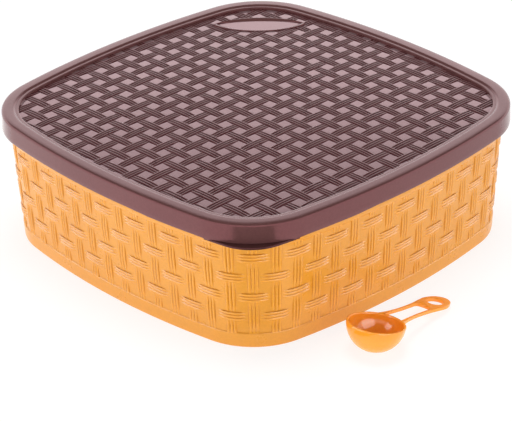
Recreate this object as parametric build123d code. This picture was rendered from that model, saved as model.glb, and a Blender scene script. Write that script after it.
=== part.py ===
from build123d import *
import os
from math import atan, atan2, cos, degrees, radians, sin, sqrt, tan

# Square spice box: a tray, a lift-off lid, nine loose cups and a measuring spoon.
# Origin: centre of the tray's underside, +Z up, sides of the box along X and Y.
# The thumb tab is at the corner (+X, -Y). All sizes in millimetres.

# ---- tray -----------------------------------------------------------------
BASE_HALF = 97.0          # half width of the underside, at the middle of a side
BASE_BOW = 378.0          # radius of the bowed sides there
BASE_CORNER = 34.8        # corner radius there
TRAY_DRAFT = 3.45         # degrees, the sides lean outwards going up
TRAY_HEIGHT = 64.2
TRAY_WALL = 2.0
TRAY_FLOOR = 2.2
FOOT_ROUND = 1.0
GROOVE_IN = 9.0           # shallow groove in the underside, distance from the edge
GROOVE_WIDE = 3.0
GROOVE_DEEP = 0.5

# ---- lid ------------------------------------------------------------------
RIM_HALF = 103.5          # half width of the lid at the top of its rim
RIM_BOW = 423.5
RIM_CORNER = 40.6
LID_TOP = 68.2
SKIRT_BOTTOM = 58.8
SKIRT_FLARE = 0.2         # the skirt is this much wider at its lower edge
SKIRT_WALL = 2.0
RIM_WIDE = 8.4            # from the outside of the lid to the wall of the panel
PANEL_LEVEL = 66.2        # panel at its edge, 2.0 below the rim
PANEL_CROWN = 0.9         # the panel rises by this much at its middle
PANEL_THICK = 1.9
RIM_ROUND = 1.2
RIM_INNER_ROUND = 0.9

# Lens-shaped pad in the panel's corner opposite the tab, bare, its face sloping away from the tab.
PAD_X, PAD_Y = -66.4, 67.3
PAD_HALF_LONG = 24.9
PAD_TO_NEAR = 8.0         # from the line between its tips to its edge on the tab's side
PAD_TO_FAR = 8.6
PAD_TOP = 67.3
PAD_FACE_HALF_LONG = 21.6
PAD_FACE_TO_NEAR = 9.15
PAD_FACE_TO_FAR = 3.7
PAD_FACE_SHIFT = 1.8      # its tips lie this much farther from the tab than the pad's
PAD_FACE_NEAR = 67.08     # level of the face at its edge on the tab's side
PAD_FACE_FAR = 66.5

# Thumb tab: a thin flange where the skirt reaches lower, squarer than the corner above it.
TAB_CORNER = 21.5
TAB_BOTTOM = 57.4
TAB_THICK = 1.2
TAB_HALF = 103.3
# Lower edge of the skirt either side of the tab: distance from the diagonal, drop below the rest.
TAB_EDGE = [(15.5, 1.4), (17.5, 1.3), (20.0, 0.95), (23.0, 0.56), (27.0, 0.45), (48.0, 0.40), (53.0, 0.15)]
TAB_EDGE_END = 57.0

# ---- cups -----------------------------------------------------------------
CUP_PITCH = 60.5
CUP_BASE_R = 25.0
CUP_TOP_R = 28.4
CUP_BEAD_R = 29.3
CUP_BEAD_HIGH = 2.0
CUP_HEIGHT = 46.0
CUP_WALL = 1.3
CUP_FLOOR = 1.5
CUP_GAP = 0.05            # clearance between the cup and the tray's floor
SEAT_IN_R = 25.6          # locating ring on the tray's floor round each cup
SEAT_WIDE = 1.1
SEAT_HIGH = 1.2

# ---- spoon ----------------------------------------------------------------
SPOON_X, SPOON_Y = 122.3, -43.9   # centre of the bowl on the table
BOWL_R = 13.8
BOWL_WALL = 1.2
HANDLE_END = 55.6         # from the bowl's centre to the tip
HANDLE_THICK = 1.5
HANDLE_AZIMUTH = 96.5     # direction of the handle
SLOT_START, SLOT_END = 13.2, 38.2
SLOT_HALF_IN, SLOT_HALF_OUT = 4.8, 4.0
EYELET_X = 47.0
EYELET_R = 3.8

os.makedirs("parts", exist_ok=True)


def outline(half, bow, corner):
    """Square with bowed sides and round corners, all arcs tangent."""
    centre = half - bow
    reach = bow - corner
    k = (2 * centre + sqrt(4 * centre**2 - 8 * (centre**2 - reach**2))) / 4
    side = atan2(k, k - centre)
    ring = [
        (centre + bow * cos(-side), bow * sin(-side)),
        (half, 0.0),
        (centre + bow * cos(side), bow * sin(side)),
        (k + corner * cos(radians(45)), k + corner * sin(radians(45))),
    ]
    points = []
    for quarter in range(4):
        c, s = [(1, 0), (0, 1), (-1, 0), (0, -1)][quarter]
        points += [(x * c - y * s, x * s + y * c) for x, y in ring]
    points.append(points[0])
    arcs = [
        ThreePointArc(points[i], points[i + 1], points[i + 2])
        for i in range(0, 16, 2)
    ]
    return Face(Wire(arcs))


def inward(shape, by):
    half, bow, corner = shape
    return (half - by, bow - by, corner - by)


def flared(shape, bottom, top, draft):
    """Solid whose outline at the top is shape; it narrows downwards by draft (widens if negative)."""
    solid = extrude(outline(*shape), amount=top - bottom, taper=draft)
    return Pos(0, 0, top) * Rot(180, 0, 0) * solid


def slab(shape, bottom, top):
    return Pos(0, 0, bottom) * extrude(outline(*shape), amount=top - bottom)


# ---- tray -----------------------------------------------------------------
base = (BASE_HALF, BASE_BOW, BASE_CORNER)
rise = TRAY_HEIGHT * tan(radians(TRAY_DRAFT))
mouth = inward(base, -rise)
tray = flared(mouth, 0.0, TRAY_HEIGHT, TRAY_DRAFT)
tray = fillet(tray.faces().sort_by(Axis.Z)[0].edges(), FOOT_ROUND)
hollow = flared(inward(mouth, TRAY_WALL), TRAY_FLOOR, TRAY_HEIGHT, TRAY_DRAFT)
hollow = fillet(hollow.faces().sort_by(Axis.Z)[0].edges(), 2.0)
tray = tray - hollow
groove = slab(inward(base, GROOVE_IN), -1.0, GROOVE_DEEP) - slab(
    inward(base, GROOVE_IN + GROOVE_WIDE), -2.0, GROOVE_DEEP + 1.0
)
tray = tray - groove
seat = Cylinder(
    SEAT_IN_R + SEAT_WIDE, SEAT_HIGH + 0.2, align=(Align.CENTER, Align.CENTER, Align.MIN)
) - Cylinder(SEAT_IN_R, 5, align=(Align.CENTER, Align.CENTER, Align.CENTER))
for row in (-1, 0, 1):
    for column in (-1, 0, 1):
        tray = tray + Pos(column * CUP_PITCH, row * CUP_PITCH, TRAY_FLOOR - 0.2) * seat
lip = tray.faces().sort_by(Axis.Z)[-1]
tray = fillet(lip.outer_wire().edges(), 0.6)

# ---- lid ------------------------------------------------------------------
rim = (RIM_HALF, RIM_BOW, RIM_CORNER)
lid_high = LID_TOP - SKIRT_BOTTOM
skirt_draft = -degrees(atan(SKIRT_FLARE / lid_high))
lid = flared(rim, SKIRT_BOTTOM, LID_TOP, skirt_draft)
lid = fillet(lid.faces().sort_by(Axis.Z)[-1].edges(), RIM_ROUND)
ceiling = PANEL_LEVEL - PANEL_THICK
inside = inward(rim, SKIRT_WALL - SKIRT_FLARE * (LID_TOP - ceiling) / lid_high)
cavity = flared(inside, SKIRT_BOTTOM - 0.0, ceiling, skirt_draft)

# At the tab the skirt is carried down to the flange; its edge rises again at both ends.
edge = [(u, SKIRT_BOTTOM - fall) for u, fall in TAB_EDGE]
edge += [(TAB_EDGE_END, SKIRT_BOTTOM), (TAB_EDGE_END, SKIRT_BOTTOM + 0.5)]
drop = Polyline(*edge, *[(-u, z) for u, z in reversed(edge)], close=True)
reach = extrude(Plane.XZ * make_face(drop), amount=45, both=True)
reach = Pos(90, -90, 0) * Rot(0, 0, 45) * reach
carried = slab(inward(rim, -SKIRT_FLARE), TAB_BOTTOM, SKIRT_BOTTOM + 0.4) & reach
tab = slab((TAB_HALF, RIM_BOW, TAB_CORNER), TAB_BOTTOM, TAB_BOTTOM + TAB_THICK) & reach
lower = slab(inward(rim, SKIRT_WALL - SKIRT_FLARE), TAB_BOTTOM - 5.0, SKIRT_BOTTOM + 0.5)
lid = lid + carried + tab
lid = lid - cavity - lower

pocket = slab(inward(rim, RIM_WIDE), PANEL_LEVEL, LID_TOP + 2)
crown_r = (112.0**2 + PANEL_CROWN**2) / (2 * PANEL_CROWN)
crown = Pos(0, 0, PANEL_LEVEL + PANEL_CROWN - crown_r) * Sphere(crown_r)
crown = crown & (Pos(0, 0, PANEL_LEVEL + 1.0) * Box(240, 240, 2.0))
pocket = pocket - crown
lid = lid - pocket
inner_edges = [
    e
    for e in lid.edges().filter_by_position(Axis.Z, LID_TOP - 0.01, LID_TOP + 0.01)
    if max(abs((e @ 0.5).X), abs((e @ 0.5).Y)) < RIM_HALF - RIM_WIDE + 0.5
    and sqrt((e @ 0.5).X ** 2 + (e @ 0.5).Y ** 2) < 116.5
]
lid = fillet(inner_edges, RIM_INNER_ROUND)


def lens(half_long, to_near, to_far, bottom, top):
    """Upright prism between two arcs that meet in points at both ends."""
    lower = (half_long**2 + to_near**2) / (2 * to_near)
    upper = (half_long**2 + to_far**2) / (2 * to_far)
    seat = (Align.CENTER, Align.CENTER, Align.MIN)
    near_disc = Pos(0, lower - to_near, bottom) * Cylinder(lower, top - bottom, align=seat)
    far_disc = Pos(0, to_far - upper, bottom) * Cylinder(upper, top - bottom, align=seat)
    return near_disc & far_disc


face_wide = PAD_FACE_TO_NEAR + PAD_FACE_TO_FAR
face_middle = (PAD_FACE_TO_FAR - PAD_FACE_TO_NEAR) / 2
fall = degrees(atan2(PAD_FACE_NEAR - PAD_FACE_FAR, face_wide))
above_face = (
    Pos(0, face_middle, (PAD_FACE_NEAR + PAD_FACE_FAR) / 2)
    * Rot(-fall, 0, 0)
    * Pos(0, 0, 4)
    * Box(60, 30, 8)
)
face = lens(
    PAD_FACE_HALF_LONG, PAD_FACE_TO_NEAR, PAD_FACE_TO_FAR, PANEL_LEVEL - 1.0, PAD_TOP + 1.0
)
pad = lens(PAD_HALF_LONG, PAD_TO_NEAR, PAD_TO_FAR, PANEL_LEVEL - 0.6, PAD_TOP)
pad = pad - Pos(0, PAD_FACE_SHIFT, 0) * (face & above_face)
lid = lid + Pos(PAD_X, PAD_Y, 0) * Rot(0, 0, 45) * pad

# ---- cups -----------------------------------------------------------------
cup_z = TRAY_FLOOR + CUP_GAP


def cup_profile():
    top = CUP_HEIGHT
    bead_start = top - CUP_BEAD_HIGH
    outer_at_bead = CUP_BASE_R + (CUP_TOP_R - CUP_BASE_R) * bead_start / top
    points = [
        (0, 0),
        (CUP_BASE_R - 1.0, 0),
        (CUP_BASE_R, 1.0),
        (outer_at_bead, bead_start),
        (CUP_BEAD_R, bead_start + 0.3),
        (CUP_BEAD_R, top),
        (CUP_TOP_R - CUP_WALL, top),
        (CUP_BASE_R - CUP_WALL, CUP_FLOOR + 1.2),
        (CUP_BASE_R - CUP_WALL - 1.2, CUP_FLOOR),
        (0, CUP_FLOOR),
    ]
    face = Plane.XZ * make_face(Polyline(*points, close=True))
    return revolve(face, axis=Axis.Z)


cup = cup_profile()
rows = {"front": -1, "middle": 0, "back": 1}
columns = {"left": -1, "centre": 0, "right": 1}
cups = {
    f"cup_{r}_{c}": Pos(columns[c] * CUP_PITCH, rows[r] * CUP_PITCH, cup_z) * cup
    for r in rows
    for c in columns
}

# ---- spoon ----------------------------------------------------------------
# Drawn with the bowl's rim in the plane Z = 0, bowl below it, handle along +X.
bowl = Sphere(BOWL_R) & (Pos(0, 0, -20) * Box(60, 60, 40))
edge_points = [(9.5, 8.1), (14.0, 6.9), (19.0, 6.0), (26.0, 5.5), (35.0, 5.7), (42.5, 6.6)]
upper = Spline(*edge_points, tangents=[(1.0, -0.22), (1.0, 0.1)])
lower_edge = Spline(
    *[(x, -y) for x, y in edge_points], tangents=[(1.0, 0.22), (1.0, -0.1)]
)
tip = Spline(
    (42.5, 6.6),
    (47.5, 6.8),
    (52.6, 5.0),
    (HANDLE_END, 0.0),
    (52.6, -5.0),
    (47.5, -6.8),
    (42.5, -6.6),
    tangents=[(1.0, 0.1), (-1.0, 0.1)],
)
back = Line((9.5, -8.1), (9.5, 8.1))
blade = extrude(
    Face(Wire([upper, tip, lower_edge, back])), amount=HANDLE_THICK, dir=(0, 0, -1)
)
slot = Polyline(
    (SLOT_START, -SLOT_HALF_IN),
    (19.0, -4.4),
    (26.0, -SLOT_HALF_OUT),
    (SLOT_END, -SLOT_HALF_OUT),
    (SLOT_END, SLOT_HALF_OUT),
    (26.0, SLOT_HALF_OUT),
    (19.0, 4.4),
    (SLOT_START, SLOT_HALF_IN),
    close=True,
)
blade = blade - extrude(make_face(slot), amount=10, both=True)
blade = blade - Pos(EYELET_X, 0, 0) * Cylinder(EYELET_R, 20)
spoon = bowl + blade
spoon = spoon - Sphere(BOWL_R - BOWL_WALL)
# Laid on the table: the bowl's underside and the tip of the handle touch it.
touch = sqrt(HANDLE_END**2 + HANDLE_THICK**2)
dip = degrees(
    atan2(BOWL_R, sqrt(touch**2 - BOWL_R**2)) - atan(HANDLE_THICK / HANDLE_END)
)
spoon = Pos(SPOON_X, SPOON_Y, BOWL_R) * Rot(0, 0, HANDLE_AZIMUTH) * Rot(0, dip, 0) * spoon

nodes = {"box_body": tray, "lid": lid, "spoon": spoon, **cups}
for name, shape in nodes.items():
    export_step(shape, f"parts/{name}.step")
    box = shape.bounding_box()
    print(
        name,
        len(shape.solids()),
        round(shape.volume),
        [round(v, 2) for v in (*box.min, *box.max)],
    )
print("spoon dip", round(dip, 2), "tray mouth half width", round(mouth[0], 2))
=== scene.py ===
import math

import bmesh
import bpy
import numpy as np
from mathutils import Matrix, Vector


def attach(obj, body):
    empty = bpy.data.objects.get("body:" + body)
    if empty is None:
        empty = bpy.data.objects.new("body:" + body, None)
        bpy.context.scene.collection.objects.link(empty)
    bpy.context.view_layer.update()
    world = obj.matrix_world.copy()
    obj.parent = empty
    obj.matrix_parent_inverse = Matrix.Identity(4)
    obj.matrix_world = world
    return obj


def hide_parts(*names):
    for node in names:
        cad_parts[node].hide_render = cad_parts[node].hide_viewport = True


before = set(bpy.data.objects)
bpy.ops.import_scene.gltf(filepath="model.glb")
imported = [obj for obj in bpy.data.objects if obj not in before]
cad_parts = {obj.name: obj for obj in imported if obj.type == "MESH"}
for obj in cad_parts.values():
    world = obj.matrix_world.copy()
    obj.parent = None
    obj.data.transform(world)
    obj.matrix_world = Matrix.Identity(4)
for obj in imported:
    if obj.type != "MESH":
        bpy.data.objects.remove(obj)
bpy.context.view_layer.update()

# All lengths below are in millimetres; meshes are written in metres.
MM = 0.001

# ---- dimensions of the tray -------------------------------------------------
BASE = (97.0, 378.0, 34.8)        # half width, bow radius, corner radius at z = 0
DRAFT = math.tan(math.radians(3.45))
TRAY_HIGH = 64.2
TRAY_WALL = 2.0
TRAY_FLOOR = 2.2
BAND_TOP = 7.7                    # plain band at the foot
WEAVE_TOP = 53.7                  # plain band under the lid starts here
RECESS = 0.55                     # depth of the squares between the strips
UPRIGHTS = 64
UPRIGHT_WIDE = 5.0
ROWS = (48.1, 37.5, 27.1, 16.7)
ROW_WIDE = 4.7

# ---- dimensions of the lid --------------------------------------------------
RIM = (103.5, 423.5, 40.6)
LID_TOP = 68.2
SKIRT_BOTTOM = 58.8
SKIRT_FLARE = 0.2
SKIRT_WALL = 2.0
RIM_WIDE = 8.4
PANEL_LEVEL = 66.17
PANEL_CROWN = 0.97
CEILING = 64.3
PITCH = 10.0
STRIP_WIDE = 4.9
PAD = (-66.4, 67.3, 25.4, 8.6)    # x, y, half length and width of the lens kept free of strips
PAD_TOP = 67.3
PAD_EDGE = (23.6, 8.0, 8.6)       # the pad: half length, to its near and far edge
PAD_FACE = (21.6, 9.15, 3.7, 1.8) # half length, to its near and far edge, shift from the tab
PAD_FACE_NEAR, PAD_FACE_FAR = 67.08, 66.5
TAB = (103.3, 423.5, 21.5)
TAB_BOTTOM, TAB_THICK = 57.4, 1.2


# ---- mesh helpers -----------------------------------------------------------
def make_object(name, verts, faces, material, smooth=True, sharp=None, slots=None):
    mesh = bpy.data.meshes.new(name)
    mesh.from_pydata([tuple(v) for v in np.asarray(verts) * MM], [], faces)
    mesh.update()
    bm = bmesh.new()
    bm.from_mesh(mesh)
    bmesh.ops.recalc_face_normals(bm, faces=bm.faces)
    bm.to_mesh(mesh)
    bm.free()
    if smooth:
        mesh.shade_smooth()
        if sharp is not None:
            mesh.set_sharp_from_angle(angle=math.radians(sharp))
    materials = material if isinstance(material, (list, tuple)) else [material]
    for m in materials:
        mesh.materials.append(m)
    if slots is not None:
        mesh.polygons.foreach_set("material_index", np.asarray(slots, np.int32))
    obj = bpy.data.objects.new(name, mesh)
    bpy.context.scene.collection.objects.link(obj)
    return obj


def grid_faces(rows, cols, wrap_rows, wrap_cols, start=0):
    r = np.arange(rows if wrap_rows else rows - 1)
    c = np.arange(cols if wrap_cols else cols - 1)
    R, C = np.meshgrid(r, c, indexing="ij")
    R2, C2 = (R + 1) % rows, (C + 1) % cols
    a, b, d, e = R * cols + C, R * cols + C2, R2 * cols + C2, R2 * cols + C
    return (np.stack([a, b, d, e], -1).reshape(-1, 4) + start).tolist()


class Parts:
    """Collects closed pieces of surface into one mesh, with a 0..1 value per point for how much painted
    groove shade it gets.
    """

    def __init__(self):
        self.verts, self.faces, self.slots, self.count = [], [], [], 0
        self.shade_depth = []

    def add(self, verts, faces, slot=0, shade_depth=None):
        verts = np.asarray(verts, float).reshape(-1, 3)
        self.shade_depth.append(np.zeros(len(verts)) if shade_depth is None else np.ravel(shade_depth))
        self.faces += [[i + self.count for i in f] for f in faces]
        self.slots += [slot] * len(faces)
        self.verts.append(verts)
        self.count += len(verts)

    def tube(self, grid, wrap_path=False, slot=0, shade_depth=None):
        """grid[path, section, 3]; the section is closed; open ends get caps; the 0..1 value per section point
        sets how much painted groove shade it gets.
        """
        rows, cols = grid.shape[:2]
        faces = grid_faces(rows, cols, wrap_path, True)
        if not wrap_path:
            faces.append(list(range(cols))[::-1])
            faces.append([(rows - 1) * cols + i for i in range(cols)])
        if shade_depth is not None:
            shade_depth = np.broadcast_to(shade_depth, (rows, cols))
        self.add(grid, faces, slot, shade_depth)

    def build(self, name, material, sharp=None):
        obj = make_object(
            name, np.concatenate(self.verts), self.faces, material, True, sharp,
            self.slots if isinstance(material, (list, tuple)) else None,
        )
        shade_depth = np.concatenate(self.shade_depth)
        # the painted groove shade values go to the mesh as a point attribute, which the material reads
        if shade_depth.any():
            layer = obj.data.attributes.new("groove_shade", "FLOAT", "POINT")
            layer.data.foreach_set("value", shade_depth.astype(np.float32))
        return obj


class Outline:
    """Square with bowed sides and round corners, by the angle of its outward normal."""

    def __init__(self, shape, at_offset=0.0):
        self.half, self.bow, self.corner = shape
        c = self.half - self.bow
        reach = self.bow - self.corner
        self.k = (2 * c + math.sqrt(4 * c * c - 8 * (c * c - reach * reach))) / 4
        self.c = c
        self.a = math.atan2(self.k, self.k - c)
        # arc length along the outline grown by at_offset, at each joint of two arcs
        side, turn = self.bow + at_offset, self.corner + at_offset
        t, s = [0.0], [0.0]
        for quarter in range(4):
            q = quarter * math.pi / 2
            for end, radius in (
                (q + self.a, side),
                (q + math.pi / 2 - self.a, turn),
                (q + math.pi / 2, side),
            ):
                s.append(s[-1] + (end - t[-1]) * radius)
                t.append(end)
        self.t, self.s = np.array(t), np.array(s)
        self.length = s[-1]

    def theta(self, arc):
        return np.interp(np.mod(arc, self.length), self.s, self.t)

    def point(self, theta, offset=0.0):
        theta = np.mod(np.asarray(theta, float), 2 * math.pi)
        quarter = np.floor((theta + math.pi / 4) / (math.pi / 2))
        local = theta - quarter * math.pi / 2
        on_side = np.abs(local) <= self.a
        cx = np.where(on_side, self.c, self.k)
        cy = np.where(on_side, 0.0, np.where(local > 0, self.k, -self.k))
        radius = np.where(on_side, self.bow, self.corner) + offset
        x, y = cx + radius * np.cos(local), cy + radius * np.sin(local)
        ca, sa = np.cos(quarter * math.pi / 2), np.sin(quarter * math.pi / 2)
        return np.stack([x * ca - y * sa, x * sa + y * ca], -1)

    def inside(self, x, y, offset=0.0):
        """True where a point lies inside the outline grown by offset."""
        x, y = np.abs(x), np.abs(y)
        x, y = np.maximum(x, y), np.minimum(x, y)
        by_side = np.hypot(x - self.c, y) <= self.bow + offset
        corner = np.arctan2(y - self.k, x - self.k)
        in_corner = (x > self.k) & (y > self.k - 1e-9) & (corner > self.a)
        by_corner = np.hypot(x - self.k, y - self.k) <= self.corner + offset
        return np.where(in_corner, by_corner, by_side)


def arc_points(cx, cy, radius, start, end, steps):
    t = np.radians(np.linspace(start, end, steps))
    return [(cx + radius * math.cos(v), cy + radius * math.sin(v)) for v in t]


def ring(outline, around, profile):
    """Rings round the outline: profile is a list of (offset, z)."""
    theta = outline.theta(np.linspace(0, outline.length, around, endpoint=False))
    rows = []
    for offset, z in profile:
        p = outline.point(theta, offset)
        rows.append(np.c_[p, np.full(around, float(z))])
    return np.stack(rows)


def flat(level, sharpness=0.28):
    """A wave that stays near its top and bottom."""
    return level / np.sqrt(level**2 + sharpness) * math.sqrt(1 + sharpness)


def ridges(across, count, deep, power=0.75):
    """Height of count rounded ridges over 0..1, zero on their tops."""
    return -deep * (1 - np.abs(np.sin(math.pi * count * across)) ** power)


# ---- materials --------------------------------------------------------------
def plastic(name, base, second, roughness, spread, grain, bump, coat=0.0, specular=0.5,
            fleck=0.12, worn=0.0, subsurface=0.0, ior=1.5, gloss_tint=None, groove_shade=0.0,
            groove_shade_colour=(0, 0, 0)):
    """Moulded plastic: flow marks, a fine grain in the gloss, soft handling marks, and painted shade that
    darkens the grooves of meshes which mark them.
    """
    m = bpy.data.materials.new(name)
    m.use_nodes = True
    n, link = m.node_tree.nodes, m.node_tree.links
    n.clear()
    out = n.new("ShaderNodeOutputMaterial")
    shader = n.new("ShaderNodeBsdfPrincipled")
    link.new(shader.outputs["BSDF"], out.inputs["Surface"])
    where = n.new("ShaderNodeTexCoord")

    flow = n.new("ShaderNodeTexNoise")
    flow.inputs["Scale"].default_value = 14.0
    flow.inputs["Detail"].default_value = 3.0
    flow.inputs["Distortion"].default_value = 0.6
    link.new(where.outputs["Object"], flow.inputs["Vector"])
    ramp = n.new("ShaderNodeMapRange")
    ramp.inputs["From Min"].default_value = 0.3
    ramp.inputs["From Max"].default_value = 0.7
    link.new(flow.outputs["Fac"], ramp.inputs["Value"])
    tint = n.new("ShaderNodeMix")
    tint.data_type = "RGBA"
    tint.inputs["A"].default_value = (*base, 1)
    tint.inputs["B"].default_value = (*second, 1)
    link.new(ramp.outputs["Result"], tint.inputs["Factor"])

    specks = n.new("ShaderNodeTexNoise")
    specks.inputs["Scale"].default_value = 900.0
    specks.inputs["Detail"].default_value = 2.0
    link.new(where.outputs["Object"], specks.inputs["Vector"])
    speck_range = n.new("ShaderNodeMapRange")
    speck_range.inputs["From Min"].default_value = 0.35
    speck_range.inputs["From Max"].default_value = 0.65
    speck_range.inputs["To Min"].default_value = 1.0 - fleck
    speck_range.inputs["To Max"].default_value = 1.0 + fleck
    link.new(specks.outputs["Fac"], speck_range.inputs["Value"])
    shade = n.new("ShaderNodeMix")
    shade.data_type = "RGBA"
    shade.blend_type = "MULTIPLY"
    shade.inputs["Factor"].default_value = 1.0
    link.new(tint.outputs["Result"], shade.inputs["A"])
    link.new(speck_range.outputs["Result"], shade.inputs["B"])
    colour = shade.outputs["Result"]

    # painted shade: the colour is pulled towards a dark shade colour where the mesh's per-point groove value
    # marks the hollow of a groove
    if groove_shade > 0:
        layer = n.new("ShaderNodeAttribute")
        layer.attribute_name = "groove_shade"
        less = n.new("ShaderNodeMapRange")
        less.inputs["To Max"].default_value = groove_shade
        link.new(layer.outputs["Fac"], less.inputs["Value"])
        groove_shaded = n.new("ShaderNodeMix")
        groove_shaded.data_type = "RGBA"
        groove_shaded.inputs["B"].default_value = (*groove_shade_colour, 1)
        link.new(less.outputs["Result"], groove_shaded.inputs["Factor"])
        link.new(colour, groove_shaded.inputs["A"])
        colour = groove_shaded.outputs["Result"]

    if worn > 0:
        geometry = n.new("ShaderNodeNewGeometry")
        edge = n.new("ShaderNodeMapRange")
        edge.inputs["From Min"].default_value = 0.50
        edge.inputs["From Max"].default_value = 0.60
        edge.inputs["To Max"].default_value = worn
        link.new(geometry.outputs["Pointiness"], edge.inputs["Value"])
        lighter = n.new("ShaderNodeMix")
        lighter.data_type = "RGBA"
        lighter.inputs["B"].default_value = (*[min(1.0, c * 1.5 + 0.03) for c in base], 1)
        link.new(edge.outputs["Result"], lighter.inputs["Factor"])
        link.new(colour, lighter.inputs["A"])
        colour = lighter.outputs["Result"]
    link.new(colour, shader.inputs["Base Color"])

    gloss = n.new("ShaderNodeTexNoise")
    gloss.inputs["Scale"].default_value = 55.0
    gloss.inputs["Detail"].default_value = 5.0
    gloss.inputs["Roughness"].default_value = 0.65
    link.new(where.outputs["Object"], gloss.inputs["Vector"])
    gloss_range = n.new("ShaderNodeMapRange")
    gloss_range.inputs["From Min"].default_value = 0.3
    gloss_range.inputs["From Max"].default_value = 0.7
    gloss_range.inputs["To Min"].default_value = roughness - spread
    gloss_range.inputs["To Max"].default_value = roughness + spread
    link.new(gloss.outputs["Fac"], gloss_range.inputs["Value"])
    link.new(gloss_range.outputs["Result"], shader.inputs["Roughness"])

    fine = n.new("ShaderNodeTexNoise")
    fine.inputs["Scale"].default_value = grain
    fine.inputs["Detail"].default_value = 3.0
    link.new(where.outputs["Object"], fine.inputs["Vector"])
    relief = n.new("ShaderNodeBump")
    relief.inputs["Strength"].default_value = bump
    relief.inputs["Distance"].default_value = 0.00006
    link.new(fine.outputs["Fac"], relief.inputs["Height"])
    link.new(relief.outputs["Normal"], shader.inputs["Normal"])

    shader.inputs["IOR"].default_value = ior
    if gloss_tint is not None:
        shader.inputs["Specular Tint"].default_value = (*gloss_tint, 1)
    shader.inputs["Specular IOR Level"].default_value = specular
    shader.inputs["Coat Weight"].default_value = coat
    shader.inputs["Coat Roughness"].default_value = 0.08
    shader.inputs["Subsurface Weight"].default_value = subsurface
    if subsurface:
        shader.inputs["Subsurface Radius"].default_value = (0.004, 0.0016, 0.0006)
        shader.inputs["Subsurface Scale"].default_value = 1.0
    return m


ROSE = (1.0, 0.34, 0.41)
ORANGE = plastic("orange_moulded", (0.61, 0.245, 0.017), (0.65, 0.27, 0.022), 0.30, 0.05,
                 1500.0, 0.2, fleck=0.03, worn=0.12)
# painted shade: the tray strips' grooves are darkened towards a deep brown-orange
ORANGE_STRIP = plastic("orange_strip_groove_shade", (0.63, 0.256, 0.019), (0.67, 0.28, 0.024), 0.21, 0.05,
                       1100.0, 0.25, fleck=0.05, worn=0.12, groove_shade=0.55,
                       groove_shade_colour=(0.38, 0.115, 0.009))
SPOON_ORANGE = plastic("spoon_orange", (0.85, 0.275, 0.018), (0.88, 0.30, 0.022), 0.12, 0.03,
                       700.0, 0.08, fleck=0.02, worn=0.08)
CUP = plastic("cup_natural", (0.70, 0.65, 0.53), (0.74, 0.69, 0.57), 0.25, 0.05,
              900.0, 0.15, fleck=0.02, worn=0.06, subsurface=0.12)
MAUVE = plastic("lid_rim_moulded", (0.090, 0.038, 0.036), (0.100, 0.043, 0.041), 0.19, 0.04,
                1200.0, 0.12, fleck=0.05, ior=1.65, gloss_tint=ROSE)
# painted shade and reflection: a much darker copy of the lid's plastic for the thumb flange, standing in for
# the dark skirt reflected in its top and the shade under the skirt
MAUVE_TAB_SHADED = plastic("lid_tab_painted_shade", (0.040, 0.015, 0.014), (0.046, 0.018, 0.017), 0.22, 0.04,
                    1200.0, 0.12, fleck=0.05, ior=1.5, gloss_tint=ROSE)
# painted shade: a darker copy of the lid's plastic for the strips, near black in their grooves
MAUVE_STRIP_SHADED = plastic("lid_strip_painted_shade", (0.084, 0.020, 0.021), (0.096, 0.025, 0.026), 0.30, 0.07,
                      1000.0, 0.3, fleck=0.10, ior=1.58, gloss_tint=ROSE, groove_shade=0.95,
                      groove_shade_colour=(0.012, 0.004, 0.004))
# painted light: a lighter copy of the lid's plastic for the panel between the strips, standing in for the
# extra light its face shows
MAUVE_WINDOW_LIT = plastic("lid_window_painted_light", (0.143, 0.099, 0.103), (0.160, 0.112, 0.116), 0.14,
                       0.04, 1600.0, 0.12, fleck=0.06, ior=1.85, gloss_tint=ROSE)
# painted light: a lighter copy of the lid's plastic for the pad's face, like the panel between the strips
MAUVE_PAD_LIT = plastic("lid_pad_painted_light", (0.120, 0.058, 0.063), (0.132, 0.068, 0.073), 0.15, 0.03,
                    1600.0, 0.10, fleck=0.04, ior=1.85, gloss_tint=ROSE)

# ---- tray -------------------------------------------------------------------
tray_line = Outline(BASE, at_offset=1.9)
AROUND = 512


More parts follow.
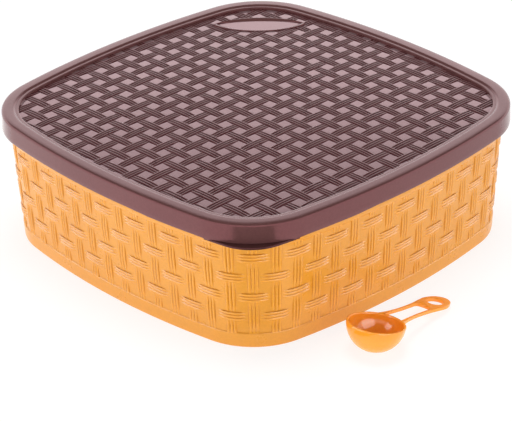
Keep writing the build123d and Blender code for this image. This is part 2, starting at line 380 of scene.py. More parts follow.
def tray_profile():
    """Section of the tray as (offset from the outline at z = 0, z), outside first."""
    p = []
    out = lambda z, d=0.0: (z * DRAFT + d, z)
    p += [(-60.0, 0.0), (-12.0, 0.0), (-12.0, 0.5), (-9.0, 0.5), (-9.0, 0.0)]
    p += [(-1.2, 0.0)] + [(-1.0 + x, 1.0 + y) for x, y in arc_points(0, 0, 1.0, -80, -5, 6)]
    p += [out(2.5), out(5.0), out(BAND_TOP - 0.6)]
    p += [out(BAND_TOP - 0.25), out(BAND_TOP - 0.12, -0.06), out(BAND_TOP + 0.08, -0.26)]
    p += [out(BAND_TOP + 0.25, -RECESS + 0.05), out(BAND_TOP + 0.45, -RECESS)]
    for z in np.linspace(BAND_TOP + 1.5, WEAVE_TOP - 1.5, 9):
        p.append(out(z, -RECESS))
    p += [out(WEAVE_TOP - 0.4, -RECESS), out(WEAVE_TOP - 0.15, -RECESS + 0.1)]
    p += [out(WEAVE_TOP + 0.1, -0.25), out(WEAVE_TOP + 0.5, -0.02), out(WEAVE_TOP + 1.1, 0.18)]
    p += [out(WEAVE_TOP + 1.9, 0.3), out(WEAVE_TOP + 2.8, 0.24), out(WEAVE_TOP + 3.6, 0.06)]
    p += [out(58.0), out(60.0), out(TRAY_HIGH - 0.6)]
    p += [out(TRAY_HIGH - 0.25, -0.12), out(TRAY_HIGH - 0.05, -0.38), out(TRAY_HIGH, -0.7)]
    p += [out(TRAY_HIGH, -TRAY_WALL + 0.3), out(TRAY_HIGH - 0.1, -TRAY_WALL + 0.08)]
    p += [out(TRAY_HIGH - 0.4, -TRAY_WALL), out(40, -TRAY_WALL), out(20, -TRAY_WALL)]
    p += [out(TRAY_FLOOR + 2.0, -TRAY_WALL)]
    base_off = (TRAY_FLOOR + 2.0) * DRAFT - TRAY_WALL
    p += [(base_off - 2.0 + x, TRAY_FLOOR + 2.0 + y) for x, y in arc_points(0, 0, 2.0, -15, -90, 6)]
    p += [(base_off - 6.0, TRAY_FLOOR), (-60.0, TRAY_FLOOR)]
    return p


def close_with_centre(parts, grid, first_z, last_z, slot=0):
    """A grid of rings whose first and last ring are closed by scaled rings and a fan."""
    rows = list(grid)
    def inward(ring_, z):
        made = []
        for s in (0.8, 0.6, 0.4, 0.2):
            r = ring_.copy()
            r[:, :2] *= s
            r[:, 2] = z
            made.append(r)
        return made
    start = inward(rows[0], first_z)[::-1]
    end = inward(rows[-1], last_z)
    full = np.stack(start + rows + end)
    n, around = full.shape[:2]
    faces = grid_faces(n, around, False, True)
    verts = full.reshape(-1, 3)
    verts = np.concatenate([verts, [[0, 0, first_z], [0, 0, last_z]]])
    a, b = n * around, n * around + 1
    for i in range(around):
        j = (i + 1) % around
        faces.append([a, j, i])
        faces.append([b, (n - 1) * around + i, (n - 1) * around + j])
    parts.add(verts, faces, slot)


shell = Parts()
profile = [q for q in tray_profile() if q[0] > -60.0]
close_with_centre(shell, ring(tray_line, AROUND, profile), 0.0, TRAY_FLOOR)


def lathe(parts, section, centre, around=96):
    """section: closed list of (radius, z) with no point on the axis, or open with both ends on it."""
    t = np.linspace(0, 2 * math.pi, around, endpoint=False)
    on_axis = abs(section[0][0]) < 1e-9
    body = section[1:-1] if on_axis else section
    grid = np.stack([
        np.c_[centre[0] + r * np.cos(t), centre[1] + r * np.sin(t), np.full(around, centre[2] + z)]
        for r, z in body
    ])
    if not on_axis:
        parts.add(grid, grid_faces(len(body), around, True, True))
        return
    faces = grid_faces(len(body), around, False, True)
    verts = np.concatenate([
        grid.reshape(-1, 3),
        [[centre[0], centre[1], centre[2] + section[0][1]],
         [centre[0], centre[1], centre[2] + section[-1][1]]],
    ])
    a, b, n = len(body) * around, len(body) * around + 1, len(body)
    for i in range(around):
        j = (i + 1) % around
        faces.append([a, j, i])
        faces.append([b, (n - 1) * around + i, (n - 1) * around + j])
    parts.add(verts, faces)


seat = [(25.6, -0.3), (25.6, 0.95), (25.7, 1.13), (25.85, 1.2), (26.45, 1.2), (26.6, 1.13),
        (26.7, 0.95), (26.7, -0.3)]
for row in (-1, 0, 1):
    for column in (-1, 0, 1):
        lathe(shell, seat, (column * 60.5, row * 60.5, TRAY_FLOOR), 96)
tray_shell = shell.build("tray_shell", ORANGE, sharp=40)

# Upright strips: each passes over two rows and under the other two.
uprights = Parts()
across = np.linspace(0, 1, 22)
top_section = ridges(across, 3, 0.46, 0.6)
# how much painted shade each point of the section gets: full on the sides, most in the hollows between the
# ridges, none on their tops
upright_groove_shade = np.r_[1.0, np.clip(-top_section / 0.46, 0, 1) ** 1.5, 1.0]
spacing = tray_line.length / UPRIGHTS
row_step = (ROWS[0] - ROWS[-1]) / 3
heights = np.linspace(BAND_TOP - 0.4, WEAVE_TOP + 0.4, 36)
for k in range(UPRIGHTS):
    # rows 0 and 2 pass over the even strips, so an even strip is on top in rows 1 and 3
    phase = 0.0 if k % 2 else 1.0
    wave = flat(np.cos(math.pi * ((heights - ROWS[0]) / row_step + phase)))
    level = np.where(heights > ROWS[0] + row_step * 0.6, wave * 0.6, wave)
    level = -0.14 + 0.24 * level
    t = np.r_[across[:1], across, across[-1:]] * UPRIGHT_WIDE - UPRIGHT_WIDE / 2
    theta = tray_line.theta(k * spacing + t)
    grid = []
    for z, d in zip(heights, level):
        offsets = np.r_[-RECESS - 0.5, top_section + d, -RECESS - 0.5]
        # the strip runs out flush into the plain bands
        blend = np.clip(min(z - BAND_TOP, WEAVE_TOP - z) / 1.2, 0, 1)
        offsets[1:-1] = offsets[1:-1] * blend + (-0.12) * (1 - blend)
        p = tray_line.point(theta, z * DRAFT + offsets)
        grid.append(np.c_[p, np.full(len(t), z)])
    uprights.tube(np.stack(grid), shade_depth=upright_groove_shade)
tray_uprights = uprights.build("tray_uprights", ORANGE_STRIP, sharp=60)

# Weavers: four closed rings that wave over and under the uprights.
weavers = Parts()
PER_UPRIGHT = 14
arcs = np.arange(UPRIGHTS * PER_UPRIGHT) / PER_UPRIGHT
for number, z0 in enumerate(ROWS):
    over = 0.0 if number % 2 == 0 else 1.0
    level = -0.16 + 0.46 * flat(np.cos(math.pi * (arcs - over)))
    # a thin variation from strip to strip
    level = level + 0.03 * np.sin(arcs * 1.7 + number * 2.1)
    theta = tray_line.theta(arcs * spacing)
    section = np.linspace(0, 1, 19)
    z_top = ridges(section, 3, 0.50, 0.6)
    # how much painted shade each point of the section gets: full on the sides, most in the hollows between
    # the ridges, none on their tops
    weaver_groove_shade = np.r_[1.0, np.clip(-z_top / 0.50, 0, 1) ** 1.5, 1.0]
    zs = z0 + (section - 0.5) * ROW_WIDE
    rows_ = []
    for z, h in zip(np.r_[zs[:1], zs, zs[-1:]], np.r_[np.nan, z_top, np.nan]):
        if np.isnan(h):
            off = np.full(len(arcs), -RECESS - 0.6)
        else:
            off = h + level
        p = tray_line.point(theta, z * DRAFT + off)
        rows_.append(np.c_[p, np.full(len(arcs), z)])
    weavers.tube(np.stack(rows_, axis=1), wrap_path=True, shade_depth=weaver_groove_shade)
tray_weavers = weavers.build("tray_weavers", ORANGE_STRIP, sharp=60)

# ---- lid --------------------------------------------------------------------
rim_line = Outline(RIM, at_offset=-4.0)
inner_line = Outline((RIM[0] - RIM_WIDE, RIM[1] - RIM_WIDE, RIM[2] - RIM_WIDE))


def dome(x, y):
    return PANEL_LEVEL + PANEL_CROWN * np.clip(1 - (x / 95.0) ** 2, 0, 1) * np.clip(
        1 - (y / 95.0) ** 2, 0, 1
    )


def lid_profile():
    """Section of the lid's rim and skirt, from the panel's edge outwards and back under the lid."""
    high = LID_TOP - SKIRT_BOTTOM
    lean = lambda z: SKIRT_FLARE * (LID_TOP - z) / high
    p = [(-RIM_WIDE - 0.12, PANEL_LEVEL), (-RIM_WIDE, PANEL_LEVEL + 0.12)]
    # wall of the panel, a narrow ledge, a small step, then the smooth bead of the rim
    p += [(-RIM_WIDE, 67.35), (-RIM_WIDE + 0.05, 67.5), (-RIM_WIDE + 0.2, 67.58)]
    p += [(-7.6, 67.6), (-6.95, 67.6), (-6.75, 67.61)]
    p += [(-5.3 + 1.9 * math.cos(math.radians(a)), LID_TOP - 1.9 + 1.9 * math.sin(math.radians(a)))
          for a in (136, 126, 116, 107, 98, 90)]
    p += [(-4.4, LID_TOP), (-3.4, LID_TOP), (-2.5, LID_TOP), (-1.9, LID_TOP - 0.02)]
    wide, tall = 1.2, 1.2
    p += [(-wide + (wide + lean(LID_TOP - tall)) * math.cos(math.radians(a)),
           LID_TOP - 0.07 - (tall - 0.07) + (tall - 0.07) * math.sin(math.radians(a)))
          for a in (86, 78, 70, 62, 54, 46, 38, 30, 22, 14, 6)]
    p += [(lean(z), z) for z in (66.5, 65.5, 64.0, 62.5, 61.0, SKIRT_BOTTOM + 0.5)]
    p += [(lean(SKIRT_BOTTOM) - 0.1, SKIRT_BOTTOM + 0.14), (lean(SKIRT_BOTTOM) - 0.35, SKIRT_BOTTOM)]
    inner = lambda z: lean(z) - SKIRT_WALL
    p += [(inner(SKIRT_BOTTOM) + 0.2, SKIRT_BOTTOM), (inner(SKIRT_BOTTOM), SKIRT_BOTTOM + 0.2)]
    p += [(inner(60.0), 60.0), (inner(CEILING - 1.0), CEILING - 1.0)]
    p += [(inner(CEILING) - 0.3, CEILING - 0.3), (inner(CEILING) - 1.2, CEILING), (-9.0, CEILING)]
    return p


def build_lid_shell():
    around = 512
    grid = ring(rim_line, around, lid_profile())
    first = grid[0]
    panel = []
    for s in np.linspace(0.04, 0.985, 26):
        r = first.copy()
        r[:, :2] *= s
        r[:, 2] = dome(r[:, 0], r[:, 1])
        panel.append(r)
    under = []
    for s in (0.75, 0.5, 0.25):
        r = grid[-1].copy()
        r[:, :2] *= s
        under.append(r)
    full = np.stack(panel + list(grid) + under)
    n = full.shape[0]
    faces = grid_faces(n, around, False, True)
    slots = [1] * (len(panel) * around) + [0] * ((n - 1 - len(panel)) * around)
    verts = np.concatenate([
        full.reshape(-1, 3), [[0, 0, float(dome(0.0, 0.0))], [0, 0, CEILING]]
    ])
    a, b = n * around, n * around + 1
    for i in range(around):
        j = (i + 1) % around
        faces.append([a, j, i])
        slots.append(1)
        faces.append([b, (n - 1) * around + i, (n - 1) * around + j])
        slots.append(0)
    # the panel between the strips takes the lighter copy of the lid's plastic: painted light
    return make_object("lid_shell", verts, faces, [MAUVE, MAUVE_WINDOW_LIT], True, 35, slots)


lid_shell = build_lid_shell()

pad_turn = math.radians(45)
pad_axis = np.array([math.cos(pad_turn), math.sin(pad_turn)])
pad_side = np.array([-pad_axis[1], pad_axis[0]])


def lens_inside(x, y, shrink):
    """True inside the lens outline shrunk by that much."""
    dx, dy = x - PAD[0], y - PAD[1]
    a = np.abs(dx * pad_axis[0] + dy * pad_axis[1])
    b = np.abs(dx * pad_side[0] + dy * pad_side[1])
    radius = (PAD[2] ** 2 + PAD[3] ** 2) / (2 * PAD[3])
    return np.hypot(a, b + radius - PAD[3]) < radius - shrink


def strips(name, along_x):
    made = Parts()
    count = 3
    across_ = np.linspace(0, 1, count * 8 + 1)
    t = across_ * STRIP_WIDE - STRIP_WIDE / 2
    section = ridges(across_, count, 0.26, 0.7) - 0.08 * (2 * across_ - 1) ** 6
    # how much painted shade each point of the section gets: full on the sides, most in the hollows between
    # the ridges
    shade_depth = np.r_[1.0, np.clip(1 - np.abs(np.sin(math.pi * count * across_)), 0, 1) ** 0.8, 1.0]
    edge = np.r_[t[:1], t, t[-1:]]
    for i in range(-9, 10):
        line = i * PITCH
        reach = np.linspace(0, 112, 1500)
        ends = []
        for v in edge:
            ok = inner_line.inside(reach, np.full_like(reach, line + v), 2.2)
            ends.append(reach[ok].max() if ok.any() else 0.0)
        ends = np.array(ends)
        hold = ends.min() - 4.0
        q = np.arange(-hold, hold, 1.5)
        near_pad = (4 <= i <= 9) if along_x else (-9 <= i <= -4)
        if near_pad:
            lo, hi = (-87.0, -46.0) if along_x else (46.0, 87.0)
            lo, hi = max(lo, -hold), min(hi, hold)
            q = np.r_[q[q < lo], np.arange(lo, hi, 0.42), q[q >= hi]]
        # beyond hold each line is stretched to its own end inside the rim
        steps = np.linspace(0, 1, 7)
        grid = []
        def station(s_values):
            x = s_values
            y = line + edge
            if not along_x:
                x, y = line + edge, s_values
            lattice = (s_values / PITCH) + i
            # strips along X are on top where the two indices add to an odd number
            wave = flat(np.cos(math.pi * (lattice + (1.0 if along_x else 0.0))), 0.35)
            ground = dome(x, y)
            high = 0.33 + 0.13 * wave
            z = np.empty_like(ground)
            z[1:-1] = ground[1:-1] + high[1:-1] + section
            z[0], z[-1] = ground[0] - 0.7, ground[-1] - 0.7
            if near_pad:
                cut = lens_inside(x, y, 0.5)
                z[1:-1] = np.where(cut[1:-1], ground[1:-1] - 0.35, z[1:-1])
            return np.stack([x, y, z], -1)
        for f in steps[:0:-1]:
            grid.append(station(-(hold + (ends - hold) * f)))
        for s in q:
            grid.append(station(np.full(len(edge), s)))
        for f in steps:
            grid.append(station(hold + (ends - hold) * f))
        made.tube(np.stack(grid), shade_depth=shade_depth)
    return made.build(name, MAUVE_STRIP_SHADED, sharp=60)


lid_strips_x = strips("lid_strips_x", True)
lid_strips_y = strips("lid_strips_y", False)


def lens_loop(long_, to_near, to_far, blunt=1.0, steps=64):
    """Points round a lens, first along its far side, then back along its near side."""
    a = long_ * np.sin(np.linspace(-math.pi / 2, math.pi / 2, steps + 1))
    w = np.clip(1 - (a / long_) ** 2, 0, None) ** blunt
    far = np.c_[a, to_far * w]
    near = np.c_[a, -to_near * w][::-1]
    return np.r_[far[:-1], near[:-1]]


def build_pad():
    """Lens-shaped pad: a rounded edge round a smooth face that slopes away from the tab."""
    face_long, to_near, to_far, shift = PAD_FACE
    tilt = (PAD_FACE_NEAR - PAD_FACE_FAR) / (to_near + to_far)
    middle = shift + (to_far - to_near) / 2
    outer = lens_loop(*PAD_EDGE, 0.8)
    inner = lens_loop(face_long, to_near, to_far, 0.69) + [0, shift]

    def face_level(q):
        return (PAD_FACE_NEAR + PAD_FACE_FAR) / 2 - tilt * (q[:, 1] - middle)

    rows_ = []

    def ring_at(q, z):
        xy = np.array(PAD[:2]) + q[:, :1] * pad_axis + q[:, 1:] * pad_side
        rows_.append(np.c_[xy, z if np.ndim(z) else np.full(len(xy), float(z))])

    def top_level(q):
        """The edge is flush with the strips on the near side and stands up on the far side."""
        return np.interp(q[:, 1], [-7.0, 1.0], [PAD_FACE_NEAR + 0.04, PAD_TOP])

    ring_at(outer, PANEL_LEVEL - 0.6)
    ring_at(outer, top_level(outer) - 0.3)
    q = outer * 0.96 + inner * 0.04
    ring_at(q, top_level(q) - 0.1)
    # a rounded edge, broad and falling to the face on the far side, thin on the near side
    for f, k in ((0.12, 0.0), (0.3, 0.08), (0.5, 0.2), (0.7, 0.36), (0.86, 0.55), (0.96, 0.88)):
        q = outer * (1 - f) + inner * f
        ring_at(q, top_level(q) - k * np.clip(top_level(q) - face_level(q), 0, None))
    heart = np.array([0.0, middle])
    for f in (1.0, 0.97, 0.8, 0.55, 0.3, 0.1):
        q = heart + (inner - heart) * f
        ring_at(q, face_level(q))
    grid = np.stack(rows_)
    n, around = grid.shape[:2]
    faces = grid_faces(n, around, False, True)
    place_ = np.array(PAD[:2]) + middle * pad_side
    verts = np.concatenate([
        grid.reshape(-1, 3),
        [[*place_, PANEL_LEVEL - 0.6], [*place_, (PAD_FACE_NEAR + PAD_FACE_FAR) / 2]],
    ])
    a, b = n * around, n * around + 1
    slots = [0] * len(faces)
    for k in range((n - 6) * around, len(faces)):
        slots[k] = 1
    for i in range(around):
        j = (i + 1) % around
        faces.append([a, j, i])
        slots.append(0)
        faces.append([b, (n - 1) * around + i, (n - 1) * around + j])
        slots.append(1)
    # the pad's face takes the lighter copy of the lid's plastic: painted light
    return make_object("lid_pad", verts, faces, [MAUVE, MAUVE_PAD_LIT], True, 50, slots)


lid_pad = build_pad()


def build_tab():
    """Thin thumb flange where the skirt reaches lower, squarer than the corner above it."""
    skirt = Outline([v + SKIRT_FLARE for v in RIM])
    tab = Outline(TAB)
    corner = math.radians(315)
    theta = corner + np.radians(np.linspace(-44.5, 44.5, 401))
    p = skirt.point(theta)
    n = np.stack([np.cos(theta), np.sin(theta)], -1)
    edge = tab.point(corner + np.radians(np.linspace(-50, 50, 4001)))
    reach = []
    for a, b in zip(p, n):
        d = edge - a
        forward = d @ b
        side = d @ np.array([-b[1], b[0]])
        order = np.argsort(side)
        reach.append(np.interp(0.0, side[order], forward[order]))
    reach = np.array(reach)
    # the skirt's edge comes down steeply beside the tab and gently farther out
    span = np.abs(p @ np.array([1.0, 1.0]) / math.sqrt(2))
    fall = np.interp(span, [15.5, 17.5, 20.0, 23.0, 27.0, 48.0, 53.0, 57.0],
                     [1.4, 1.3, 0.95, 0.56, 0.45, 0.40, 0.15, 0.0])
    keep = fall > 0.001
    p, n, reach, fall = p[keep], n[keep], reach[keep], fall[keep]
    parts = Parts()
    low = SKIRT_BOTTOM + 0.02 - fall
    grid = []
    for a, b, z0 in zip(p, n, low):
        top = SKIRT_BOTTOM + 0.55
        section_ = [(-1.9, z0), (-0.4, z0), (-0.12, z0 + 0.08), (-0.01, z0 + 0.3), (-0.01, top),
                    (-1.9, top)]
        grid.append([[*(a + b * o), z] for o, z in section_])
    parts.tube(np.array(grid))
    grid = []
    z1, r = TAB_BOTTOM + TAB_THICK, 0.28
    for a, b, h in zip(p, n, reach):
        if h < -0.3:
            continue
        section_ = [(-0.95, TAB_BOTTOM), (h - r, TAB_BOTTOM), (h - 0.09, TAB_BOTTOM + 0.09),
                    (h, TAB_BOTTOM + r), (h, z1 - r), (h - 0.09, z1 - 0.09), (h - r, z1),
                    (-0.95, z1)]
        grid.append([[*(a + b * o), z] for o, z in section_])
    # the flange takes the darker copy of the lid's plastic: painted shade
    parts.tube(np.array(grid), slot=1)
    return parts.build("lid_thumb_tab", [MAUVE, MAUVE_TAB_SHADED], sharp=40)


lid_tab = build_tab()

# ---- cups -------------------------------------------------------------------
rows = {"front": -1, "middle": 0, "back": 1}
columns = {"left": -1, "centre": 0, "right": 1}
cup_section = [(0, 0.25), (22.5, 0.25), (23.0, 0.0), (24.0, 0.0), (24.5, 0.12), (24.9, 0.5),
               (25.05, 1.0), (28.2, 43.7), (28.45, 43.95), (29.05, 44.15), (29.25, 44.4),
               (29.3, 44.7), (29.3, 45.4), (29.15, 45.8), (28.8, 46.0), (27.6, 46.0),
               (27.25, 45.9), (27.08, 45.6), (27.0, 44.5), (23.85, 3.2), (23.5, 2.3),
               (22.9, 1.75), (22.2, 1.5), (0, 1.5)]
cup_pieces = {}
for r in rows:
    for c in columns:
        name = f"{r}_{c}"
        parts = Parts()
        lathe(parts, cup_section, (columns[c] * 60.5, rows[r] * 60.5, 2.25), 112)
        cup_pieces[name] = parts.build(f"spice_cup_{name}", CUP, sharp=35)

# ---- spoon ------------------------------------------------------------------
SPOON = (122.3, -43.9, 13.8)
DIP = 12.82
TURN = 96.5
HANDLE_THICK = 1.5
spoon_place = (
    Matrix.Translation(Vector(SPOON) * MM)
    @ Matrix.Rotation(math.radians(TURN), 4, "Z")
    @ Matrix.Rotation(math.radians(DIP), 4, "Y")
)


def smooth_line(points, steps):
    """Catmull-Rom through the points."""
    pts = np.array(points, float)
    pts = np.concatenate([[2 * pts[0] - pts[1]], pts, [2 * pts[-1] - pts[-2]]])
    made = []
    for i in range(1, len(pts) - 2):
        for f in np.linspace(0, 1, steps, endpoint=False):
            a, b, c, d = pts[i - 1:i + 3]
            made.append(0.5 * (2 * b + (c - a) * f + (2 * a - 5 * b + 4 * c - d) * f**2
                               + (3 * b - a - 3 * c + d) * f**3))
    made.append(pts[-2])
    return np.array(made)


def build_spoon():
    bowl = Parts()
    r_out, r_in = 13.8, 12.6
    section_ = [(0, -r_out)]
    section_ += [(r_out * math.cos(math.radians(a)), r_out * math.sin(math.radians(a)))
                 for a in np.linspace(-88, -2.0, 44)]
    section_ += [(13.74, -0.16), (13.55, 0.0), (12.9, 0.0), (12.68, -0.16)]
    section_ += [(r_in * math.cos(math.radians(a)), r_in * math.sin(math.radians(a)))
                 for a in np.linspace(-2.5, -88, 40)]
    section_ += [(0, -r_in)]
    lathe(bowl, section_, (0, 0, 0), 128)
    bowl = bowl.build("spoon_bowl", SPOON_ORANGE, sharp=50)
    bowl.data.transform(spoon_place)

    upper = smooth_line([(10.4, 7.9), (14.0, 6.9), (19.0, 6.0), (26.0, 5.5), (35.0, 5.7),
                         (42.5, 6.6), (47.5, 6.8), (52.6, 5.0), (54.9, 2.4), (55.6, 0.0)], 8)
    lower = upper[::-1][1:] * [1, -1]
    back = [(13.0 * math.cos(a), 13.0 * math.sin(a))
            for a in np.radians(np.linspace(-36, 36, 25))[1:-1]]
    outer = np.concatenate([upper, lower, back])
    slot_front = [(13.45 * math.cos(a), 13.45 * math.sin(a))
                  for a in np.radians(np.linspace(-21.0, 21.0, 15))]
    slot_top = [(19.0, 4.4), (26.0, 4.0), (36.2, 4.0), (37.4, 3.6), (38.0, 2.7), (38.2, 0.0)]
    slot_top = np.array(slot_top)
    slot = np.concatenate([slot_front, slot_top, slot_top[::-1][1:] * [1, -1]])
    eye = [(47.0 + 3.8 * math.cos(a), 3.8 * math.sin(a))
           for a in np.linspace(0, 2 * math.pi, 56, endpoint=False)]
    curve = bpy.data.curves.new("handle_outline", "CURVE")
    curve.dimensions = "2D"
    curve.fill_mode = "BOTH"
    bevel = 0.34
    for loop in (outer, slot, eye):
        spline = curve.splines.new("POLY")
        spline.points.add(len(loop) - 1)
        for point, (x, y) in zip(spline.points, loop):
            point.co = (x * MM, y * MM, 0, 1)
        spline.use_cyclic_u = True
    curve.extrude = (HANDLE_THICK / 2 - bevel) * MM
    curve.bevel_depth = bevel * MM
    curve.bevel_resolution = 3
    curve.offset = -bevel * MM
    holder = bpy.data.objects.new("handle_outline", curve)
    bpy.context.scene.collection.objects.link(holder)
    dg = bpy.context.evaluated_depsgraph_get()
    mesh = bpy.data.meshes.new_from_object(holder.evaluated_get(dg))
    bpy.data.objects.remove(holder)
    bm = bmesh.new()
    bm.from_mesh(mesh)
    bmesh.ops.remove_doubles(bm, verts=bm.verts, dist=1e-6)
    bmesh.ops.recalc_face_normals(bm, faces=bm.faces)
    open_edges = sum(1 for e in bm.edges if len(e.link_faces) != 2)
    print("spoon handle: open edges", open_edges, "faces", len(bm.faces))
    bm.to_mesh(mesh)
    bm.free()
    mesh.name = "spoon_handle"
    mesh.shade_smooth()
    mesh.set_sharp_from_angle(angle=math.radians(38))
    mesh.materials.clear()
    mesh.materials.append(SPOON_ORANGE)
    handle = bpy.data.objects.new("spoon_handle", mesh)
    bpy.context.scene.collection.objects.link(handle)
    mesh.transform(Matrix.Translation((0, 0, -HANDLE_THICK / 2 * MM)))
    mesh.transform(spoon_place)
    return bowl, handle


spoon_bowl, spoon_handle = build_spoon()

# ---- bodies -----------------------------------------------------------------
for piece in (tray_shell, tray_uprights, tray_weavers):
    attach(piece, "tray")
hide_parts("box_body")
for piece in (lid_shell, lid_strips_x, lid_strips_y, lid_pad, lid_tab):
    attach(piece, "lid")
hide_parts("lid")
for name, piece in cup_pieces.items():
    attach(piece, f"cup_{name}")
    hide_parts(f"cup_{name}")
for piece in (spoon_bowl, spoon_handle):
    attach(piece, "spoon")
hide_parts("spoon")

# ---- floor, light, camera ---------------------------------------------------
FLOOR_SEEN, FLOOR_LEFT, FLOOR_RIGHT = 0.78, 0.79, 0.56
CARD = (46.0, 240.0)              # from and to, measured from the centre of the corner
floor_mesh = bpy.data.meshes.new("floor")
S = 6.0
floor_mesh.from_pydata([(-S, -S, 0), (S, -S, 0), (S, S, 0), (-S, S, 0)], [], [(0, 1, 2, 3)])
floor = bpy.data.objects.new("floor", floor_mesh)
floor.location.z = -0.0001
bpy.context.scene.collection.objects.link(floor)
paper = bpy.data.materials.new("paper")
paper.use_nodes = True
pn, pl = paper.node_tree.nodes, paper.node_tree.links
pn.clear()
p_out = pn.new("ShaderNodeOutputMaterial")
p_add_seen = pn.new("ShaderNodeAddShader")
p_add_lit = pn.new("ShaderNodeAddShader")
p_mix = pn.new("ShaderNodeMixShader")
p_diffuse = pn.new("ShaderNodeBsdfDiffuse")
p_diffuse.inputs["Color"].default_value = (0.80, 0.80, 0.80, 1)
p_seen = pn.new("ShaderNodeBsdfDiffuse")
p_seen.inputs["Color"].default_value = (0.27, 0.27, 0.27, 1)
p_glow = pn.new("ShaderNodeEmission")
p_glow.inputs["Color"].default_value = (1, 1, 1, 1)
p_glow_seen = pn.new("ShaderNodeEmission")
p_glow_seen.inputs["Color"].default_value = (1, 1, 1, 1)
p_glow_seen.inputs["Strength"].default_value = FLOOR_SEEN
# a lit table: it shines into the object, from the left most, with more contrast than it shows
p_ray = pn.new("ShaderNodeLightPath")
p_where = pn.new("ShaderNodeTexCoord")
p_side = pn.new("ShaderNodeVectorMath")
p_side.operation = "DOT_PRODUCT"
p_side.inputs[1].default_value = (-0.6887, -0.7250, 0.0)
p_side_range = pn.new("ShaderNodeMapRange")
p_side_range.inputs["From Min"].default_value = -0.15
p_side_range.inputs["From Max"].default_value = 0.15
p_side_range.inputs["To Min"].default_value = FLOOR_RIGHT
p_side_range.inputs["To Max"].default_value = FLOOR_LEFT
pl.new(p_where.outputs["Object"], p_side.inputs[0])
pl.new(p_side.outputs["Value"], p_side_range.inputs["Value"])
pl.new(p_side_range.outputs["Result"], p_glow.inputs["Strength"])
pl.new(p_diffuse.outputs[0], p_add_lit.inputs[0])
pl.new(p_glow.outputs[0], p_add_lit.inputs[1])
pl.new(p_seen.outputs[0], p_add_seen.inputs[0])
pl.new(p_glow_seen.outputs[0], p_add_seen.inputs[1])
pl.new(p_ray.outputs["Is Camera Ray"], p_mix.inputs[0])
pl.new(p_add_lit.outputs[0], p_mix.inputs[1])
pl.new(p_add_seen.outputs[0], p_mix.inputs[2])
pl.new(p_mix.outputs[0], p_out.inputs["Surface"])
floor_mesh.materials.append(paper)

# a black card lies in front of the near corner and only shows in the gloss
corner_k = rim_line.k
card_turn = [math.radians(a) for a in np.linspace(-67.0, -20.0, 13)]
card_verts = [((corner_k + r * math.cos(a)) * MM, (-corner_k + r * math.sin(a)) * MM, 0.0004)
              for r in (CARD[0], CARD[1]) for a in card_turn]
card_mesh = bpy.data.meshes.new("card")
card_mesh.from_pydata(card_verts, [], [(i, i + 1, i + 14, i + 13) for i in range(12)])
card = bpy.data.objects.new("card", card_mesh)
bpy.context.scene.collection.objects.link(card)
for flag in ("visible_camera", "visible_diffuse", "visible_shadow", "visible_transmission",
             "visible_volume_scatter"):
    setattr(card, flag, False)
black = bpy.data.materials.new("black_card")
black.use_nodes = True
black.node_tree.nodes["Principled BSDF"].inputs["Base Color"].default_value = (0.01, 0.01, 0.01, 1)
black.node_tree.nodes["Principled BSDF"].inputs["Specular IOR Level"].default_value = 0.0
card_mesh.materials.append(black)

CAMERA = dict(f=2488.4903, az=46.471563, el=28.424116, roll=-1.331493,
              distance=120.645616, tx=-0.028182, ty=5.086591, z_shift=6.6168)
az, el, roll = (math.radians(CAMERA[k]) for k in ("az", "el", "roll"))
back = Vector((math.sin(az) * math.cos(el), -math.cos(az) * math.cos(el), math.sin(el)))
right = Vector((math.cos(az), math.sin(az), 0))
up = back.cross(right)
right, up = (right * math.cos(roll) + up * math.sin(roll),
             up * math.cos(roll) - right * math.sin(roll))
place = right * -CAMERA["tx"] + up * -CAMERA["ty"] + back * CAMERA["distance"]
place = (place + Vector((0, 0, CAMERA["z_shift"]))) * 0.01
cam_data = bpy.data.cameras.new("camera")
cam_data.sensor_width = 36.0
cam_data.sensor_fit = "HORIZONTAL"
cam_data.lens = CAMERA["f"] / 512 * 36.0
cam_data.clip_start, cam_data.clip_end = 0.05, 30
cam_data.dof.use_dof = False
camera = bpy.data.objects.new("camera", cam_data)
camera.matrix_world = Matrix.Translation(place) @ Matrix((right, up, back)).transposed().to_4x4()
bpy.context.scene.collection.objects.link(camera)
bpy.context.scene.camera = camera

# Light: a bright tent with a dark gap between its walls and the light overhead.
world = bpy.data.worlds.new("tent")
bpy.context.scene.world = world
world.use_nodes = True
wn, wl = world.node_tree.nodes, world.node_tree.links
wn.clear()
w_out = wn.new("ShaderNodeOutputWorld")
w_back = wn.new("ShaderNodeBackground")
wl.new(w_back.outputs[0], w_out.inputs["Surface"])
w_where = wn.new("ShaderNodeTexCoord")
w_split = wn.new("ShaderNodeSeparateXYZ")
wl.new(w_where.outputs["Generated"], w_split.inputs[0])
w_map = wn.new("ShaderNodeMapRange")
w_map.inputs["From Min"].default_value = 0.0
w_map.inputs["From Max"].default_value = 1.0
wl.new(w_split.outputs["Z"], w_map.inputs["Value"])
w_high = wn.new("ShaderNodeValToRGB")
wl.new(w_map.outputs["Result"], w_high.inputs["Fac"])
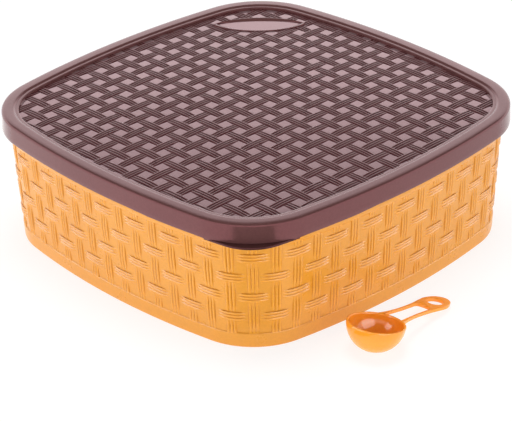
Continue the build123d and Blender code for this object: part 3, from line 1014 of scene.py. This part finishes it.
# brightness against elevation in degrees
steps_ = [(0, 2.0), (16, 2.0), (23, 2.25), (25.5, 2.25), (28, 1.56), (31, 1.0), (34, 0.55), (38, 0.08),
          (60, 0.08), (75, 0.1), (90, 0.1)]
ramp = w_high.color_ramp
ramp.elements[0].position, ramp.elements[1].position = 0.0, 1.0
ramp.elements[0].color = (steps_[0][1],) * 3 + (1,)
ramp.elements[1].color = (steps_[-1][1],) * 3 + (1,)
for degrees_, value in steps_[1:-1]:
    e = ramp.elements.new(math.sin(math.radians(degrees_)))
    e.color = (value, value, value, 1)
wl.new(w_high.outputs["Color"], w_back.inputs["Color"])
w_back.inputs["Strength"].default_value = 1.0


def area(name, location, target, size, power, colour=(1, 1, 1)):
    data = bpy.data.lights.new(name, "AREA")
    data.shape = "DISK"
    data.size = size
    data.energy = power
    data.color = colour
    obj = bpy.data.objects.new(name, data)
    obj.location = location
    obj.rotation_euler = (Vector(target) - Vector(location)).to_track_quat("-Z", "Y").to_euler()
    bpy.context.scene.collection.objects.link(obj)
    return obj


# the light overhead fills the shade and doesn't show in the gloss
overhead = area("overhead", (-0.12, 0.05, 1.6), (0, 0, 0), 0.9, 11.5)
overhead.visible_glossy = False
# softboxes facing the near sides, with a gap between them: only their gloss shows, on the
# orange pieces, and that of the third on the tray alone
tray_pieces = bpy.data.collections.new("tray_pieces")
orange_pieces = bpy.data.collections.new("orange_pieces")
for piece in (tray_shell, tray_uprights, tray_weavers):
    tray_pieces.objects.link(piece)
    orange_pieces.objects.link(piece)
for piece in (spoon_bowl, spoon_handle):
    orange_pieces.objects.link(piece)
for label, azimuth, elevation, wide, tall, glow, lit in (
    ("softbox_left", -126.0, 21.0, 2.3, 1.9, 4.0, orange_pieces),
    ("softbox_right", -8.0, 25.0, 1.9, 1.3, 4.2, orange_pieces),
    ("softbox_far_right", 46.0, 20.0, 1.3, 1.4, 4.0, tray_pieces),
):
    a, e = math.radians(azimuth), math.radians(elevation)
    spot = (2.0 * math.cos(e) * math.cos(a), 2.0 * math.cos(e) * math.sin(a), 2.0 * math.sin(e))
    box = area(label, spot, (0, 0, 0.04), wide, math.pi * wide * tall * glow)
    box.data.shape = "RECTANGLE"
    box.data.size_y = tall
    box.visible_camera = False
    box.visible_diffuse = False
    box.visible_transmission = False
    box.light_linking.receiver_collection = lit
bpy.context.scene.view_settings.view_transform = "Standard"
bpy.context.scene.view_settings.look = "None"
